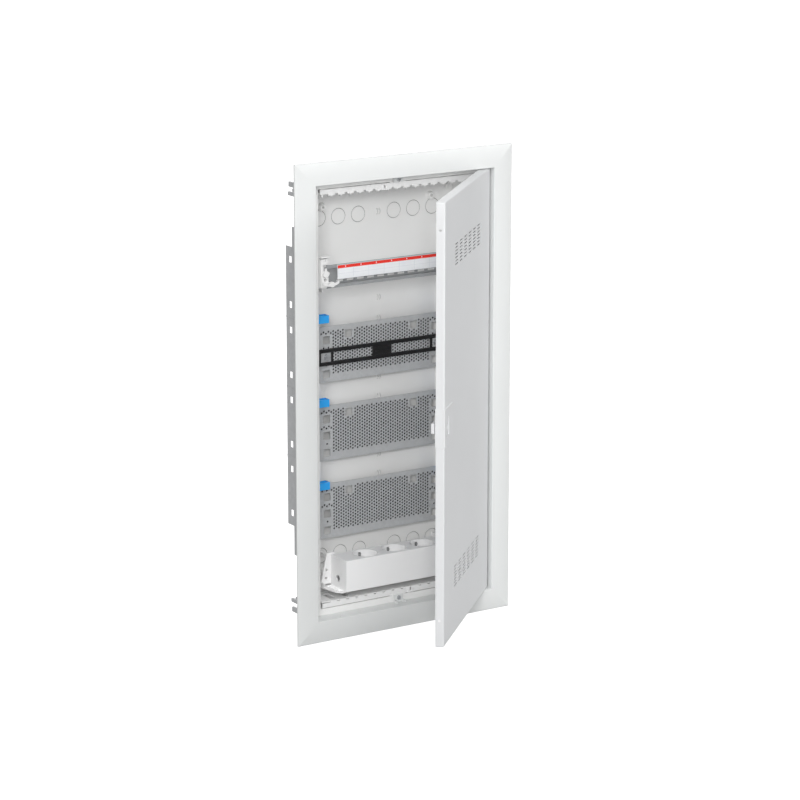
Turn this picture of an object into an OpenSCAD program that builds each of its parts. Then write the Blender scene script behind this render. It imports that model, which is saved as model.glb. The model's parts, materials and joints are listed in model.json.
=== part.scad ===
// Flush-mounted communication distribution cabinet with a hinged sheet-steel door.
// The origin is the centre of the wall box's rear face, +Y runs into the wall and +Z is up.
// Inside the modules, Y is the depth behind the finished wall surface; in_wall() moves it to the origin.

/* [Trim frame] */
// Width over the trim frame
frame_w = 384; // [360:1:420]
// Height over the trim frame
frame_h = 734; // [734:1:760]
// Width of one frame member
member_w = 34.5; // [30:0.5:34.5]
// How far the frame's inner edge stands out of the wall
frame_rise = 6.2; // [5:0.1:8]
// Height of the frame's outer rim
rim_h = 2.6; // [2:0.1:4]

/* [Wall box] */
// Depth of the wall box behind the wall surface
box_depth = 83; // [83:1:110]
// Thickness of the moulded walls
box_t = 2.5; // [2:0.1:3]
// Inner width of the tray
tray_w = 277.6; // [277:0.2:284]
// Inner height of the tray
tray_h = 645; // [644:0.5:648]
// Depth at which the front collar steps in to the tray
step_depth = 19.8; // [19.8:0.1:21]
// Diameter of a cable knockout
knockout_d = 25; // [20:0.5:26]

/* [Door] */
// Opening angle as stored
door_open = 44; // [0:1:90]
// Thickness over the door's return flange
door_t = 13; // [11:0.5:14]
// Sheet thickness of the door
sheet_t = 1.2; // [1:0.1:1.5]
// Gap between the door and the frame
door_gap = 1.2; // [0.8:0.1:2]
// Rows in a vent group
vent_rows = 7; // [3:1:9]
// Columns in a vent group
vent_cols = 6; // [2:1:7]

/* [Rail row] */
// Height of the centre line of the top-hat rail
rail_z = 190.6; // [170:0.2:200]
// Width of one device module
module_w = 18; // [17.5:0.1:18]
// Number of modules along the label
module_count = 12; // [8:1:12]

/* [Mounting plates] */
// Height of the highest plate's centre
plate_top_z = 60.5; // [50:0.5:66]
// Distance between plates
plate_pitch = 122.5; // [115:0.5:125]
// Height of a plate
plate_h = 86; // [80:1:90]
// Pitch of the holes in the side uprights
upright_pitch = 12.5; // [10:0.5:15]

/* [Socket strip] */
// Length of the socket strip
strip_l = 200; // [180:1:204]
// Distance between sockets
socket_pitch = 51.6; // [48:0.2:55]
// Diameter of a socket's recess
socket_d = 39.2; // [38:0.1:40]

/* [Hidden] */
$fn = 48;

white = [0.93, 0.94, 0.94];
box_white = [0.88, 0.88, 0.87];
door_white = [0.84, 0.85, 0.86];
zinc = [0.66, 0.67, 0.69];
steel = [0.74, 0.75, 0.77];
nickel = [0.70, 0.70, 0.68];
eps = 0.01;

// Frame and collar
open_w = frame_w - 2 * member_w;
open_h = frame_h - 2 * member_w;
lip_t = 2;
lip_depth = 19.3;
collar_gap = 0.7;
collar_w = open_w + 2 * (lip_t + collar_gap);
collar_h = open_h + 2 * (lip_t + collar_gap);
tray_half = tray_w / 2;
tray_top = tray_h / 2;
back_face = box_depth - 2.7;

// Door: closed it lies flush with the frame's inner edge
door_w = open_w - 2 * door_gap;
door_h = open_h - 2 * door_gap;
door_face = -frame_rise;
hinge_inset = 12;
hinge_x = door_w / 2 - hinge_inset;
hinge_d = door_face + 4;
pin_r = 1.25;
pin_play = 0.05;

// Uprights, plates and strap
upright_in = 108;
upright_out = 137;
upright_front = 67.2;
upright_low = -242;
upright_high = 240;
plate_half = 113;
plate_t = 1.2;
plate_front = upright_front - plate_t;
catch_pitch = 129.4;
catch_top_z = 124;
catch_h = 11.5;

// Socket strip
strip_front = 7.2;
strip_back = 53.7;
strip_low = -298.6;
strip_high = -249.8;
strip_wall = 2.2;
socket_depth = (strip_front + strip_back) / 2;

// Wall claws
claw_x = 150;
claw_z = 316;

module in_wall() { translate([0, -box_depth, 0]) children(); }

// A block given by its limits along X, depth and Z
module block(x, d, z) {
    translate([x[0], d[0], z[0]]) cube([x[1] - x[0], d[1] - d[0], z[1] - z[0]]);
}

// A cylinder along the depth axis
module rod(x, z, d, r, r2 = undef) {
    translate([x, d[0], z]) rotate([-90, 0, 0])
        cylinder(h = d[1] - d[0], r1 = r, r2 = is_undef(r2) ? r : r2);
}

// A flat plate cut from an outline drawn in X and Z
module plate_xz(d) {
    translate([0, d[1], 0]) rotate([90, 0, 0]) linear_extrude(d[1] - d[0]) children();
}

module both_sides() {
    children();
    mirror([1, 0, 0]) children();
}

module top_and_bottom() {
    children();
    mirror([0, 0, 1]) children();
}

module screw_head(r, h) {
    difference() {
        cylinder(h = h, r = r);
        for (a = [0, 90]) rotate([0, 0, a]) translate([-r * 0.7, -0.4, h - 0.9]) cube([r * 1.4, 0.8, 1]);
    }
}

// ---------------------------------------------------------------- wall box

boss_x = 96.7;
boss_z = 283.7;
boss_h = 6;
boss_hole_r = 2.25;
ring_x = 131;
ring_z = 294.7;
knockout_x = [31.9, 66.9, 101.6];
knockout_z = [266.9, -258.5];

groove_w = 1;
groove_depth = 1.2;

// A thin circular groove that marks a knockout, on the plane at depth 0
module knockout_groove(depth) {
    difference() {
        cylinder(h = depth, r = knockout_d / 2);
        translate([0, 0, -1]) cylinder(h = depth + 2, r = knockout_d / 2 - groove_w);
    }
}

module collar_shell() {
    difference() {
        block([-collar_w / 2 - box_t, collar_w / 2 + box_t], [1, step_depth + box_t],
              [-collar_h / 2 - box_t, collar_h / 2 + box_t]);
        block([-collar_w / 2, collar_w / 2], [0, step_depth], [-collar_h / 2, collar_h / 2]);
        block([-tray_half, tray_half], [step_depth - 1, box_depth], [-tray_top, tray_top]);
    }
}

module tray_shell() {
    difference() {
        block([-tray_half - box_t, tray_half + box_t], [step_depth, box_depth],
              [-tray_top - box_t, tray_top + box_t]);
        block([-tray_half, tray_half], [step_depth - 1, back_face], [-tray_top, tray_top]);
    }
}

// Fixing boss, and the small raised ring nearer the corner
module wall_boss() {
    rod(boss_x, boss_z, [back_face - boss_h, back_face], 5, 7);
    difference() {
        rod(ring_x, ring_z, [back_face - 1.5, back_face], 5.4);
        rod(ring_x, ring_z, [back_face - 2, back_face + 1], 3.6);
    }
}

rib_h = 4;
rib_d = [step_depth + box_t, box_depth - 6];

module tray_ribs() {
    both_sides() for (z = [-250 : 100 : 250])
        block([tray_half + box_t, tray_half + box_t + rib_h], rib_d, [z - 1, z + 1]);
    top_and_bottom() for (x = [-100 : 50 : 100])
        block([x - 1, x + 1], rib_d, [tray_top + box_t, tray_top + box_t + rib_h]);
}

module wall_box() color(box_white) in_wall() difference() {
    union() {
        collar_shell();
        tray_shell();
        tray_ribs();
        both_sides() top_and_bottom() wall_boss();
    }
    both_sides() top_and_bottom() {
        rod(boss_x, boss_z, [back_face - boss_h - 1, box_depth + 1], boss_hole_r);
        rod(claw_x, claw_z, [step_depth - 1, step_depth + box_t + 1], 2.4);
        rod(0, -clamp_screw_z, [step_depth - 1, clamp_screw_tip + 1], 1.9);
    }
    both_sides() for (x = knockout_x) for (z = knockout_z)
        translate([x, back_face + groove_depth, z]) rotate([90, 0, 0]) knockout_groove(2);
    // Cable entries in the top and bottom walls, and in the side walls
    top_and_bottom() for (x = [-75 : 50 : 75])
        translate([x, 54, tray_top + box_t - 0.6]) knockout_groove(2);
    both_sides() for (z = [-200 : 100 : 200])
        translate([tray_half + box_t - 0.6, 54, z]) rotate([0, 90, 0]) knockout_groove(2);
}

// ---------------------------------------------------------------- trim frame

curve_steps = 14;
shell_t = 2;
// Height of the frame's convex face, from the rim (u = 0) to the inner edge (u = 1)
function face_rise(u) = rim_h + (frame_rise - rim_h) * (1 - pow(1 - u, 2.4));

member_profile = concat(
    [[0, 0], [0, rim_h - 0.5]],
    [for (i = [0 : curve_steps]) [0.5 + (member_w - 0.5) * i / curve_steps, face_rise(i / curve_steps)]],
    [[member_w, -lip_depth], [member_w - lip_t, -lip_depth], [member_w - lip_t, frame_rise - shell_t - 0.03]],
    [for (i = [curve_steps - 1 : -1 : 1]) [member_w * i / curve_steps, face_rise(i / curve_steps) - shell_t]],
    [[shell_t, 0]]
);

// One member along X below the centre, mitred at both ends; its outer edge is at z = -half
module frame_member(length, half) intersection() {
    translate([-length / 2, 0, -half]) rotate([0, 0, 90]) rotate([90, 0, 0])
        linear_extrude(length) polygon([for (p = member_profile) [-p[1], p[0]]]);
    plate_xz([-20, 40]) polygon([
        [-length / 2, -half], [length / 2, -half],
        [length / 2 - member_w, member_w - half], [member_w - length / 2, member_w - half]
    ]);
}

latch_window_d = [8, 13.6];
latch_window_z = 9;

module trim_frame() color(white) in_wall() difference() {
    union() {
        for (a = [0, 180]) rotate([0, a, 0]) frame_member(frame_w, frame_h / 2);
        for (a = [90, 270]) rotate([0, a, 0]) frame_member(frame_h, frame_w / 2);
    }
    // Slot in the left lip that takes the latch bolt
    block([-open_w / 2 - lip_t - 1, -open_w / 2 + 1], latch_window_d, [-latch_window_z, latch_window_z]);
    // Holes in the lip for the hinge pins, and for the frame screws
    top_and_bottom() translate([hinge_x, hinge_d, open_h / 2 - 1]) cylinder(h = lip_t + 1.5, r = 1.9);
    translate([-116, 0.4, -open_h / 2 - lip_t - 1]) cylinder(h = lip_t + 2, r = 1.2);
}

clamp_w = 16;
clamp_d = [16.8, 18.6];
clamp_screw_z = -326;
clamp_screw_tip = 26;

// A lug behind the door opening that draws the frame onto the box with one screw
module frame_clamp() {
    difference() {
        union() {
            block([-clamp_w / 2, clamp_w / 2], clamp_d, [-open_h / 2, -321]);
            both_sides() block([clamp_w / 2 - 1.6, clamp_w / 2], [8, clamp_d[0]], [-open_h / 2, -329.4]);
        }
        rod(0, clamp_screw_z, [10, 30], 1.9);
    }
}

module frame_clamp_top() color(white) in_wall() rotate([0, 180, 0]) frame_clamp();
module frame_clamp_bottom() color(white) in_wall() frame_clamp();

module frame_clamp_screws() color(steel) in_wall() for (a = [0, 180]) rotate([0, a, 0]) {
    translate([0, clamp_d[0], clamp_screw_z]) rotate([90, 0, 0]) screw_head(3.4, 1.8);
    rod(0, clamp_screw_z, [clamp_d[0], clamp_screw_tip], 1.85);
}

// ---------------------------------------------------------------- comb flanges

comb_pitch = 16.4;
comb_half = 135;
comb_front = 20;
comb_t = 1.8;
comb_top = 321.5;
comb_root = 314.5;
ledge_back = 66;
ledge_pitch = 24.6;
ledge_slot_d = [30, 54];
tooth_w = 11.4;
tooth_h = 2.6;
nub_w = 1.8;
nub_h = 1.8;
tab_x = -23;
tab_low = 311.5;
tab_t = 1.2;

// The tab's outline: a trapezoid with the straight side up
module tab_outline(half, low, high, slope) {
    polygon([[-half, low], [half, low], [half + slope, high], [-half - slope, high]]);
}

// A comb flange as seen above the opening. Its ledge runs back from the given height, and nubs stand
// between its teeth if wanted.
module comb_flange(ledge_z, nubs) {
    difference() {
        union() {
            block([-comb_half, comb_half], [comb_front, comb_front + comb_t], [comb_root, comb_top]);
            for (i = [-8 : 8]) {
                x = i * comb_pitch;
                if (abs(x) + tooth_w / 2 < comb_half)
                    block([x - tooth_w / 2, x + tooth_w / 2], [comb_front, comb_front + comb_t],
                          [comb_root - tooth_h, comb_root + eps]);
                if (nubs) block([x - nub_w / 2, x + nub_w / 2], [comb_front, comb_front + comb_t],
                                [comb_root - tooth_h - nub_h, comb_root + eps]);
            }
            // Ledge that runs back from the teeth, with its stand-offs to the tray wall
            block([-comb_half, comb_half], [comb_front + comb_t - eps, ledge_back],
                  [ledge_z, ledge_z + comb_t]);
            for (i = [-2 : 2]) block([2 * i * ledge_pitch - 2, 2 * i * ledge_pitch + 2], [24, ledge_back - 2],
                                     [ledge_z + comb_t - eps, tray_top]);
            // Tab and centre bridge
            plate_xz([comb_front - tab_t, comb_front]) {
                translate([tab_x, 0]) tab_outline(4.5, tab_low, comb_top, 1.5);
                tab_outline(10, 319, tray_top - 0.1, 5);
            }
        }
        block([tab_x - 1.3, tab_x + 1.3], [comb_front - 2, comb_front + 3], [313.2, 318.6]);
        for (i = [-4.5, -3.5, 3.5, 4.5])
            block([i * ledge_pitch - 5, i * ledge_pitch + 5], ledge_slot_d,
                  [ledge_z - 1, ledge_z + comb_t + 1]);
    }
}

module comb_flange_top() color(white) in_wall() comb_flange(comb_root, true);
module comb_flange_bottom() color(white) in_wall()
    rotate([0, 180, 0]) comb_flange(comb_root - tooth_h, false);

// ---------------------------------------------------------------- side uprights

upright_screw_z = [-225, 0, 225];
catch_slot_w = 4.6;

function catch_z(i) = catch_top_z - catch_h / 2 - i * catch_pitch;

// The right-hand upright: a channel with a row of holes along its inner edge
module side_upright() {
    difference() {
        block([upright_in, upright_out], [upright_front, back_face], [upright_low, upright_high]);
        block([upright_in + 2, upright_out - 2], [upright_front + 2, back_face + 1],
              [upright_low - 1, upright_high + 1]);
        for (z = [upright_low + 11 : upright_pitch : upright_high - 4])
            rod(plate_half + 0.5, z, [upright_front - 1, upright_front + 3], 1.4);
        for (i = [0 : 2])
            block([119.7, 119.7 + catch_slot_w], [upright_front - 1, upright_front + 3],
                  [catch_z(i) - 5, catch_z(i) + 16]);
        for (z = upright_screw_z) rod(131, z, [upright_front - 1, upright_front + 3], 2.1);
        for (i = [0 : 2]) for (z = ear_z)
            rod(ear_x, plate_top_z - i * plate_pitch + z, [upright_front - 1, upright_front + 3], 1.7);
    }
    for (z = upright_screw_z) difference() {
        rod(131, z, [upright_front + 2 - eps, back_face], 3.4);
        rod(131, z, [upright_front - 1, back_face + 1], 2.1);
    }
}

module side_upright_right() color(white) in_wall() side_upright();
module side_upright_left() color(white) in_wall() mirror([1, 0, 0]) side_upright();

module upright_screws() color(steel) in_wall() both_sides() for (z = upright_screw_z) {
    translate([131, upright_front, z]) rotate([90, 0, 0]) screw_head(3.6, 2);
    rod(131, z, [upright_front, back_face], 2.05);
}

// ---------------------------------------------------------------- top-hat rail

rail_h = 35;
rail_web_h = 27;
rail_front = 17.5;
rail_web = 25;
rail_t = 1;
rail_half = 126;
rail_slot_l = 12.5;
lever_x = 122;
knob_x = 131;
knob_z = rail_z + 5.8;

module din_rail() color(zinc) in_wall() difference() {
    union() {
        block([-rail_half, rail_half], [rail_web - rail_t, rail_web],
              [rail_z - rail_web_h / 2, rail_z + rail_web_h / 2]);
        for (s = [-1, 1]) {
            z = rail_z + s * (rail_web_h / 2 - rail_t / 2);
            block([-rail_half, rail_half], [rail_front, rail_web], [z - rail_t / 2, z + rail_t / 2]);
            tip = rail_z + s * rail_h / 2;
            block([-rail_half, rail_half], [rail_front, rail_front + rail_t], [min(z, tip), max(z, tip)]);
        }
    }
    // Round fixing holes near the ends, and a row of small slots low in the web
    both_sides() {
        rod(118, rail_z + 3.2, [rail_front, rail_web + 1], 2.2);
        rod(lever_x, rail_z - 10, [rail_front, rail_web + 1], 2.3);
    }
    for (x = [-99 : module_w : 99]) {
        block([x - rail_slot_l / 2, x + rail_slot_l / 2], [rail_web - 2, rail_web + 1],
              [rail_z - 10.5, rail_z - 7.5]);
        block([x - 5, x + 5], [rail_web - 2, rail_web + 1], [rail_z - 2, rail_z + 4]);
    }
}

// The right-hand rail bracket: clamps the rail's end and stands on the upright
module rail_bracket() {
    difference() {
        union() {
            // Web that runs back to the upright, with its foot
            block([127, 129.6], [rail_web, upright_front], [rail_z - 24, rail_z + 26]);
            block([112, 136], [upright_front - 2.4, upright_front], [rail_z - 24, rail_z + 26]);
            block([114, 138], [rail_web, rail_web + 2.4], [rail_z - 17.5, rail_z + 28]);
            // Upper panel and its flat tab
            block([125, 138], [15.5, rail_web], [rail_z + 19, rail_z + 28]);
            block([123, 138.4], [12, rail_web], [rail_z + 30, rail_z + 32]);
            block([125, 138], [21, rail_web], [rail_z + 28, rail_z + 30]);
            // Lower body below the knob
            block([126, 138], [12.2, 17.4], [rail_z - 9, rail_z + 0.4]);
            block([128, 138], [13, 17.4], [rail_z - 15, rail_z - 9]);
            block([134.2, 138], [13.6, rail_web], [rail_z - 15, rail_z + 28]);
        }
        rod(131.5, rail_z - 3, [11, 18], 2.4);
        rod(128.6, rail_z + 25, [15, 18], 0.8);
        rod(134.4, rail_z + 24, [15, 18], 0.8);
        rod(knob_x, knob_z, [13, 30], 2.55);
        rod(lever_x, rail_z - 10, [24, 30], 2.05);
    }
}

module rail_bracket_right() color(white) in_wall() rail_bracket();
module rail_bracket_left() color(white) in_wall() mirror([1, 0, 0]) rail_bracket();

// A turn knob on the bracket that locks the rail: an oval grip on a round spindle
module rail_knob() {
    rod(knob_x, knob_z, [13, 29], 2.5);
    rod(knob_x, knob_z, [10.2, 13.1], 5);
    block([knob_x - 1.4, knob_x + 1.4], [10.8, 13.1], [rail_z + 9, rail_z + 14.5]);
}

module rail_knob_right() color(white) in_wall() rail_knob();
module rail_knob_left() color(white) in_wall() mirror([1, 0, 0]) rail_knob();

// A curved lever that lies in front of the rail's end and swings down to free it. The right-hand one
// is cut short where the opening door's hinge edge swings past.
module rail_lever(reach) {
    rod(lever_x, rail_z - 10, [11.2 - eps, 29], 2);
    rod(lever_x, rail_z - 10, [7, 11.2], 4.2);
    plate_xz([7.6, 9.8]) intersection() {
        translate([lever_x + 2, rail_z + 14]) difference() {
            circle(r = 27);
            circle(r = 23.5);
        }
        translate([lever_x - 12, rail_z - 15]) square([12 + reach, 12]);
    }
}

module rail_lever_right() color(white) in_wall() rail_lever(9);
module rail_lever_left() color(white) in_wall() mirror([1, 0, 0]) rail_lever(16);

label_half = module_w * module_count / 2;
label_low = rail_z - 4.8;
label_high = rail_z + 16.1;
band_h = 4.7;

module label_holder() color([0.9, 0.92, 0.94]) in_wall() difference() {
    block([-label_half, label_half], [15, rail_front], [label_low, label_high]);
    block([-label_half - 1, label_half + 1], [14, 15.5], [label_high - band_h, label_high + 1]);
}

// Red strip along the label's top, notched where each pair of module marks shows white
module label_band() color([0.88, 0.2, 0.18]) in_wall() difference() {
    block([-label_half, label_half], [15, 15.5], [label_high - band_h, label_high]);
    for (i = [0 : 7]) {
        x = -label_half + module_w * 1.5 * (i + 0.5);
        block([x - 0.9, x + 0.9], [14, 16], [label_high - 3.4, label_high - 1.2]);
    }
}

// ---------------------------------------------------------------- mounting plates

window = 12;
window_x = 97.9;
ear_x = 120;
ear_z = [-26, 12];

module plate_outline() difference() {
    union() {
        square([2 * plate_half, plate_h], center = true);
        // Ears that lie on the uprights
        for (s = [-1, 1]) for (z = ear_z) translate([s * (ear_x - 2), z]) square([14, 9], center = true);
    }
    for (s = [-1, 1]) {
        for (z = [-35.5, -10.5, 1.5, 27, 37]) translate([s * (plate_half + 1.2), z]) circle(r = 3.6);
        for (z = [22, -4.3, -30.7]) translate([s * window_x, z]) square(window, center = true);
        translate([s * 58.5, 28.4]) square(window, center = true);
        translate([s * 97.3, -17]) circle(r = 1.6);
        for (z = ear_z) translate([s * ear_x, z]) circle(r = 1.7);
    }
}

module mounting_plate(i) color(zinc) in_wall() translate([0, 0, plate_top_z - i * plate_pitch])
    plate_xz([plate_front, plate_front + plate_t]) plate_outline();

module plate_upper() mounting_plate(0);
module plate_middle() mounting_plate(1);
module plate_lower() mounting_plate(2);

// Self-tapping screws through the plates' ears
module plate_screws() color(steel) in_wall() both_sides() for (i = [0 : 2]) for (z = ear_z)
    translate([ear_x, plate_front, plate_top_z - i * plate_pitch + z]) rotate([90, 0, 0]) {
        screw_head(3.2, 1.7);
        translate([0, 0, -3]) cylinder(h = 3 + eps, r = 1.65);
    }

// ---------------------------------------------------------------- blue catches

catch_half = 13;
catch_x = 115;
catch_front = 51;

// The right-hand catch: an open cup on a T-shaped foot that slides in the upright's slot
module catch(i) translate([0, 0, catch_z(i)]) {
    difference() {
        block([catch_x - catch_half, catch_x + catch_half], [catch_front, 63.5], [-catch_h / 2, catch_h / 2]);
        block([catch_x - catch_half + 1.6, catch_x + catch_half - 1.6], [catch_front + 1.6, 61.9],
              [-catch_h / 2 + 1.6, catch_h / 2 + 1]);
    }
    block([120, 124], [63.5, 70.5], [-2.5, 3]);
    block([118, 126], [69.7, 71.7], [-2.5, 3]);
}

catch_blue = [0.15, 0.52, 0.86];
module catch_upper_right() color(catch_blue) in_wall() catch(0);
module catch_middle_right() color(catch_blue) in_wall() catch(1);
module catch_lower_right() color(catch_blue) in_wall() catch(2);
module catch_upper_left() color(catch_blue) in_wall() mirror([1, 0, 0]) catch(0);
module catch_middle_left() color(catch_blue) in_wall() mirror([1, 0, 0]) catch(1);
module catch_lower_left() color(catch_blue) in_wall() mirror([1, 0, 0]) catch(2);

// ---------------------------------------------------------------- device strap

strap_z = 56.5;
strap_h = 25.6;
strap_bar = 5.5;
strap_d = [61.4, plate_front];
stud_x = 99;

module strap_window(x0, x1) {
    translate([x0, strap_z - strap_h / 2 + strap_bar]) square([x1 - x0, strap_h - 2 * strap_bar]);
}

module device_strap() color([0.09, 0.09, 0.1]) in_wall() difference() {
    plate_xz(strap_d) difference() {
        translate([0, strap_z]) square([2 * plate_half, strap_h], center = true);
        for (s = [0, 1]) mirror([s, 0]) {
            strap_window(16.5, 88);
            strap_window(91, 109.5);
        }
    }
    for (i = [-1, 0, 1])
        block([-15, 15], [60, 61.9], [strap_z + 6 * i - 0.5, strap_z + 6 * i + 0.5]);
}

// Zinc-plated anchor plates in the strap's end bays
module strap_anchors() color(zinc) in_wall() both_sides() plate_xz([64.4, plate_front]) difference() {
    translate([100.25, strap_z]) square([18.5, strap_h - 2 * strap_bar], center = true);
    translate([stud_x, strap_z]) circle(r = 3.05);
    translate([107, strap_z]) square([1.6, 8], center = true);
}

module strap_stud() {
    rod(stud_x, strap_z, [62.6, 71], 3);
    difference() {
        rod(stud_x, strap_z, [61, 64.2], 5.2);
        block([stud_x - 4.2, stud_x + 4.2], [60, 62], [strap_z - 0.7, strap_z + 0.7]);
    }
}

module strap_stud_right() color(steel) in_wall() strap_stud();
module strap_stud_left() color(steel) in_wall() mirror([1, 0, 0]) strap_stud();

// ---------------------------------------------------------------- socket strip

socket_x = [-socket_pitch, 0, socket_pitch];
cup_r = socket_d / 2 + 1.2;
cup_floor = strip_high - 17.5;

module strip_housing() color(white) in_wall() difference() {
    block([-strip_l / 2, strip_l / 2], [strip_front, strip_back], [strip_low, strip_high]);
    block([-strip_l / 2 + strip_wall, strip_l / 2 - strip_wall],
          [strip_front + strip_wall, strip_back - strip_wall], [strip_low - 1, strip_high - strip_wall]);
    for (x = socket_x) translate([x, socket_depth, strip_high - 5]) cylinder(h = 6, r = cup_r + 0.05);
    translate([-strip_l / 2 - 1, 32.3, -282.7]) rotate([0, 90, 0]) cylinder(h = 5, r = 5);
}

// Closing plate with cross ribs and posts that carry the busbars
base_gap = strip_wall + 0.2;

module strip_base() color(white) in_wall() {
    block([-strip_l / 2 + base_gap, strip_l / 2 - base_gap],
          [strip_front + base_gap, strip_back - base_gap], [strip_low + 0.4, strip_low + 2.4]);
    for (x = [-77, -socket_pitch / 2, socket_pitch / 2, 75]) {
        block([x - 1.5, x + 1.5], [15, 48.5], [strip_low + 2.4 - eps, x < -70 ? terminal_z[0] : bar_z[0]]);
        block([x - 1.5, x + 1.5], [45.5, 48.5], [strip_low + 2.4, earth_z[0]]);
    }
}

pin_half = 9.5;
clip_d = [16.9, 17.9];

// A socket cup with two contact holes, slots for the earth clips and notches that guide the plug
module socket_cup(x) translate([x, socket_depth, 0]) difference() {
    translate([0, 0, cup_floor - 1.8]) cylinder(h = strip_high - cup_floor + 1.8, r = cup_r);
    translate([0, 0, cup_floor]) cylinder(h = 20, r = socket_d / 2);
    for (s = [-1, 1]) {
        translate([s * pin_half, 0, cup_floor - 3]) cylinder(h = 5, r = 2.5);
        translate([-2.2, s * 17.6 - 1.5, cup_floor - 3]) cube([4.4, 3, 5]);
        translate([s * socket_d / 2 - 0.7, -2.5, cup_floor + 6]) cube([1.4, 5, 20]);
    }
}

module socket_left() color(white) in_wall() socket_cup(socket_x[0]);
module socket_middle() color(white) in_wall() socket_cup(socket_x[1]);
module socket_right() color(white) in_wall() socket_cup(socket_x[2]);

bar_z = [-291, -288];
terminal_z = [-295, -284];
earth_z = [-281, -278];
bar_offset = 9.5;
finger_offset = 2.9;

// Sprung earth contacts that rise along the front and back of each cup
module earth_clips() color(nickel) in_wall() for (x = socket_x) for (s = [0, 1])
    translate([x, socket_depth, 0]) mirror([0, s, 0]) {
        block([-1.8, 1.8], clip_d, [earth_z[1], strip_high - 3]);
        translate([-1.8, clip_d[0], strip_high - 6]) rotate([0, 90, 0]) cylinder(h = 3.6, r = 1.4);
    }

// A busbar at the front (side -1) or back (side 1), with an arm and a pair of fingers under each pin
module busbar(side) translate([0, socket_depth, 0]) {
    d = side * bar_offset;
    tip = -side * (finger_offset + 0.5);
    block([-70, 78], [d - 2.5, d + 2.5], bar_z);
    for (x = socket_x) translate([x + side * pin_half, 0, 0]) {
        block([-2, 2], [min(d, tip), max(d, tip)], bar_z);
        for (s = [-1, 1])
            block([-2, 2], [s * finger_offset - 0.5, s * finger_offset + 0.5], [bar_z[0], cup_floor - 2.4]);
    }
    block([-86, -70], [d - 4, d + 4], terminal_z);
}

module live_busbar() color(nickel) in_wall() busbar(-1);
module neutral_busbar() color(nickel) in_wall() busbar(1);

// The earth bar runs along the back, with an arm across each cup to its front clip
module earth_bar() color(nickel) in_wall() translate([0, socket_depth, 0]) {
    block([-86, 78], [14.5, 18.5], earth_z);
    for (x = socket_x) block([x - 2, x + 2], [-18.5, 14.5 + eps], earth_z);
}

strip_screw_z = -273.9;
shelf_z = strip_low - 2;
shelf_x = [-117.5, -93];
flange_d = [strip_back + 0.1, strip_back + 2.1];
leg_x = [-104, -101];

// The left-hand end bracket: a tapered rear flange, a ribbed shelf and legs to the tray's back
module strip_bracket() {
    difference() {
        plate_xz(flange_d) polygon([
            [shelf_x[1], -247.4], [-105.5, -247.4], [-107, -249], [shelf_x[0], -296], [shelf_x[1], -296]
        ]);
        rod(-107.3, strip_screw_z, [50, 60], 1.9);
        for (x = [-108.9, -107.3]) rod(x, -286.6, [50, 60], 1.5);
        block([-108.9, -107.3], [50, 60], [-288.1, -285.1]);
    }
    translate([0, 0, shelf_z]) linear_extrude(2) polygon([
        [shelf_x[1], 12], [-106, 12], [-112, 20], [shelf_x[0], 50],
        [shelf_x[0], flange_d[1]], [shelf_x[1], flange_d[1]]
    ]);
    // Ribs on the shelf, a gusset at its outer edge, and the legs
    for (d = [20 : 7 : 48])
        block([-strip_l / 2 - 9, -strip_l / 2 - 0.2], [d - 0.6, d + 0.6], [shelf_z + 1.9, shelf_z + 4]);
    block([shelf_x[0], shelf_x[0] + 1.8], [46, flange_d[1]], [shelf_z + 1.9, -292]);
    for (z = [-293, -255]) block(leg_x, [flange_d[1] - 0.1, back_face], [z - 3, z + 3]);
}

module strip_bracket_left() color(white) in_wall() strip_bracket();
module strip_bracket_right() color(white) in_wall() mirror([1, 0, 0]) strip_bracket();

module strip_screws() color(steel) in_wall() both_sides() {
    for (d = [30, 46]) translate([-96.5, d, shelf_z]) rotate([180, 0, 0]) screw_head(3, 1.6);
}

// ---------------------------------------------------------------- hollow-wall brackets

bracket_x = 165;
bracket_t = 1.5;
bracket_segments = 4;
segment_h = 107.2;
leg_z = [-190, -84, 24, 130, 238];
bracket_high = 234.2;
bracket_slot = [8.6, 10];
slot_d = [57.7 - bracket_slot[0] / 2, 57.7 + bracket_slot[0] / 2];
slot_z = 34.3;
foot_h = 12;

function segment_z(i) = bracket_high - (i + 0.5) * segment_h;

// The right-hand bracket: a slotted steel strip on legs beside the tray
module wall_bracket() {
    difference() {
        union() {
            block([bracket_x - bracket_t, bracket_x], [30, 52], [-240, 265]);
            block([bracket_x - bracket_t, bracket_x], [30, 70],
                  [bracket_high - bracket_segments * segment_h, bracket_high]);
        }
        for (i = [0 : bracket_segments - 1]) for (s = [-1, 1])
            translate([0, 0, segment_z(i) + s * slot_z])
                block([bracket_x - 3, bracket_x + 1], slot_d, [-bracket_slot[1] / 2, bracket_slot[1] / 2]);
    }
    // Pressed ribs where the segments meet
    for (i = [1 : bracket_segments - 1]) {
        z = bracket_high - i * segment_h;
        block([bracket_x - 0.1, bracket_x + 0.7], [30, 70], [z - 0.8, z + 0.8]);
    }
    // Legs with feet on the tray wall
    for (z = leg_z) {
        block([tray_half + box_t, bracket_x - bracket_t], [34, 52], [z - 1, z + 1]);
        difference() {
            block([tray_half + box_t, tray_half + box_t + bracket_t], [34, 52], [z - foot_h, z + 1]);
            translate([tray_half, 43, z - 6.5]) rotate([0, 90, 0]) cylinder(h = 6, r = 2.2);
        }
    }
}

module bracket_screws() color(steel) in_wall() both_sides() for (z = leg_z)
    translate([tray_half + box_t + bracket_t, 43, z - 6.5]) rotate([0, 90, 0]) screw_head(3.6, 1.8);

module wall_bracket_right() color(zinc) in_wall() wall_bracket();
module wall_bracket_left() color(zinc) in_wall() mirror([1, 0, 0]) wall_bracket();

claw_bore = 2.1;

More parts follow.
